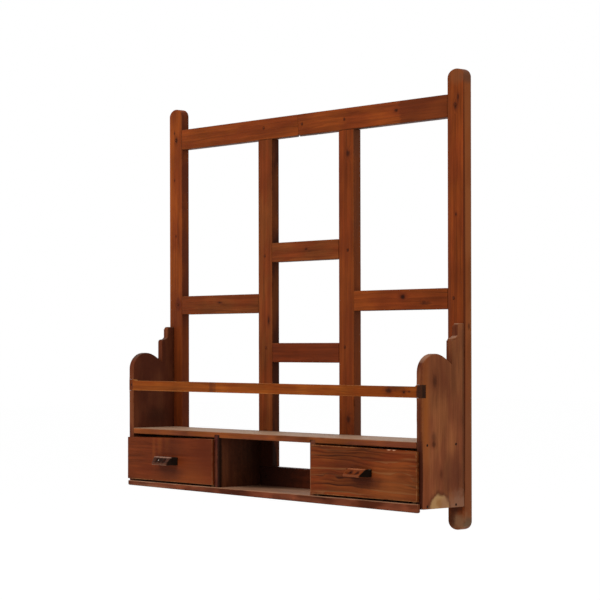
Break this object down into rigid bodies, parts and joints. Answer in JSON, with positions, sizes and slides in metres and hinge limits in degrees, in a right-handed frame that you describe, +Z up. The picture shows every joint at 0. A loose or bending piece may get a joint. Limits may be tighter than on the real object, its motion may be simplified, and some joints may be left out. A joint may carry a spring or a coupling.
{
  "type": "wall plate rack",
  "caption": "Wall-hung pine plate rack with a pegged ladder frame, plate shelf with guard rail, open middle compartment and small drawers with carved pulls.",
  "frame": {"origin": "on the wall plane, at the middle of the top rail's back", "axes": "+X right along the rack's length, +Y into the wall, +Z up; the front faces -Y"},
  "size_m": [1, 0.1849, 0.9621],
  "materials": {
    "frame_pine": "old stained and waxed pine, satin, worn edges",
    "peg_wood": "dark end-grain pegs, satin",
    "case_pine": "old stained pine boards, satin, scuffed",
    "shelf_pine": "stained pine, worn dull and dusty on top",
    "guard_pine": "warm stained pine, satin",
    "front_pine": "stained pine with a strong grain, satin",
    "box_pine": "old bare pine, matte",
    "handle_wood": "dark hand-carved wood, worn on the lip",
    "nail_iron": "dull dark iron"
  },
  "bodies": {
    "frame": {"left_post": "frame_pine", "right_post": "frame_pine", "left_stile": "frame_pine", "right_stile": "frame_pine", "top_rail_left": "frame_pine", "top_rail_right": "frame_pine", "left_mid_rail": "frame_pine", "right_mid_rail": "frame_pine", "centre_upper_rail": "frame_pine", "centre_lower_rail": "frame_pine", "bottom_rail": "frame_pine", "left_post_top_peg": "peg_wood", "right_post_top_peg": "peg_wood", "left_post_middle_peg": "peg_wood", "right_post_middle_peg": "peg_wood", "left_post_bottom_peg": "peg_wood", "right_post_bottom_peg": "peg_wood", "left_stile_top_peg": "peg_wood", "right_stile_top_peg": "peg_wood", "left_stile_upper_peg": "peg_wood", "right_stile_upper_peg": "peg_wood", "left_stile_lower_peg": "peg_wood", "right_stile_lower_peg": "peg_wood", "left_stile_bottom_peg": "peg_wood", "right_stile_bottom_peg": "peg_wood", "splice_peg": "peg_wood", "left_side_board": "case_pine", "right_side_board": "case_pine", "shelf_board": "shelf_pine", "bottom_board": "case_pine", "left_divider": "case_pine", "right_divider": "case_pine", "guard_rail": "guard_pine", "left_shelf_front_nail": "nail_iron", "left_shelf_rear_nail": "nail_iron", "left_bottom_front_nail": "nail_iron", "left_bottom_rear_nail": "nail_iron", "right_shelf_front_nail": "nail_iron", "right_shelf_rear_nail": "nail_iron", "right_bottom_front_nail": "nail_iron", "right_bottom_rear_nail": "nail_iron", "left_guard_nail": "nail_iron", "right_guard_nail": "nail_iron"},
    "left_drawer": {"left_drawer_front": "front_pine", "left_drawer_inner_side": "box_pine", "left_drawer_outer_side": "box_pine", "left_drawer_back": "box_pine", "left_drawer_bottom": "box_pine", "left_drawer_handle": "handle_wood", "left_drawer_left_nail": "nail_iron", "left_drawer_right_nail": "nail_iron"},
    "right_drawer": {"right_drawer_front": "front_pine", "right_drawer_inner_side": "box_pine", "right_drawer_outer_side": "box_pine", "right_drawer_back": "box_pine", "right_drawer_bottom": "box_pine", "right_drawer_handle": "handle_wood", "right_drawer_left_nail": "nail_iron", "right_drawer_right_nail": "nail_iron"}
  },
  "joints": [
    {"name": "left_drawer_slide", "type": "slide", "parent": "frame", "child": "left_drawer", "axis": [0, -1, 0], "range_m": [0, 0.095]},
    {"name": "right_drawer_slide", "type": "slide", "parent": "frame", "child": "right_drawer", "axis": [0, -1, 0], "range_m": [0, 0.095]}
  ]
}
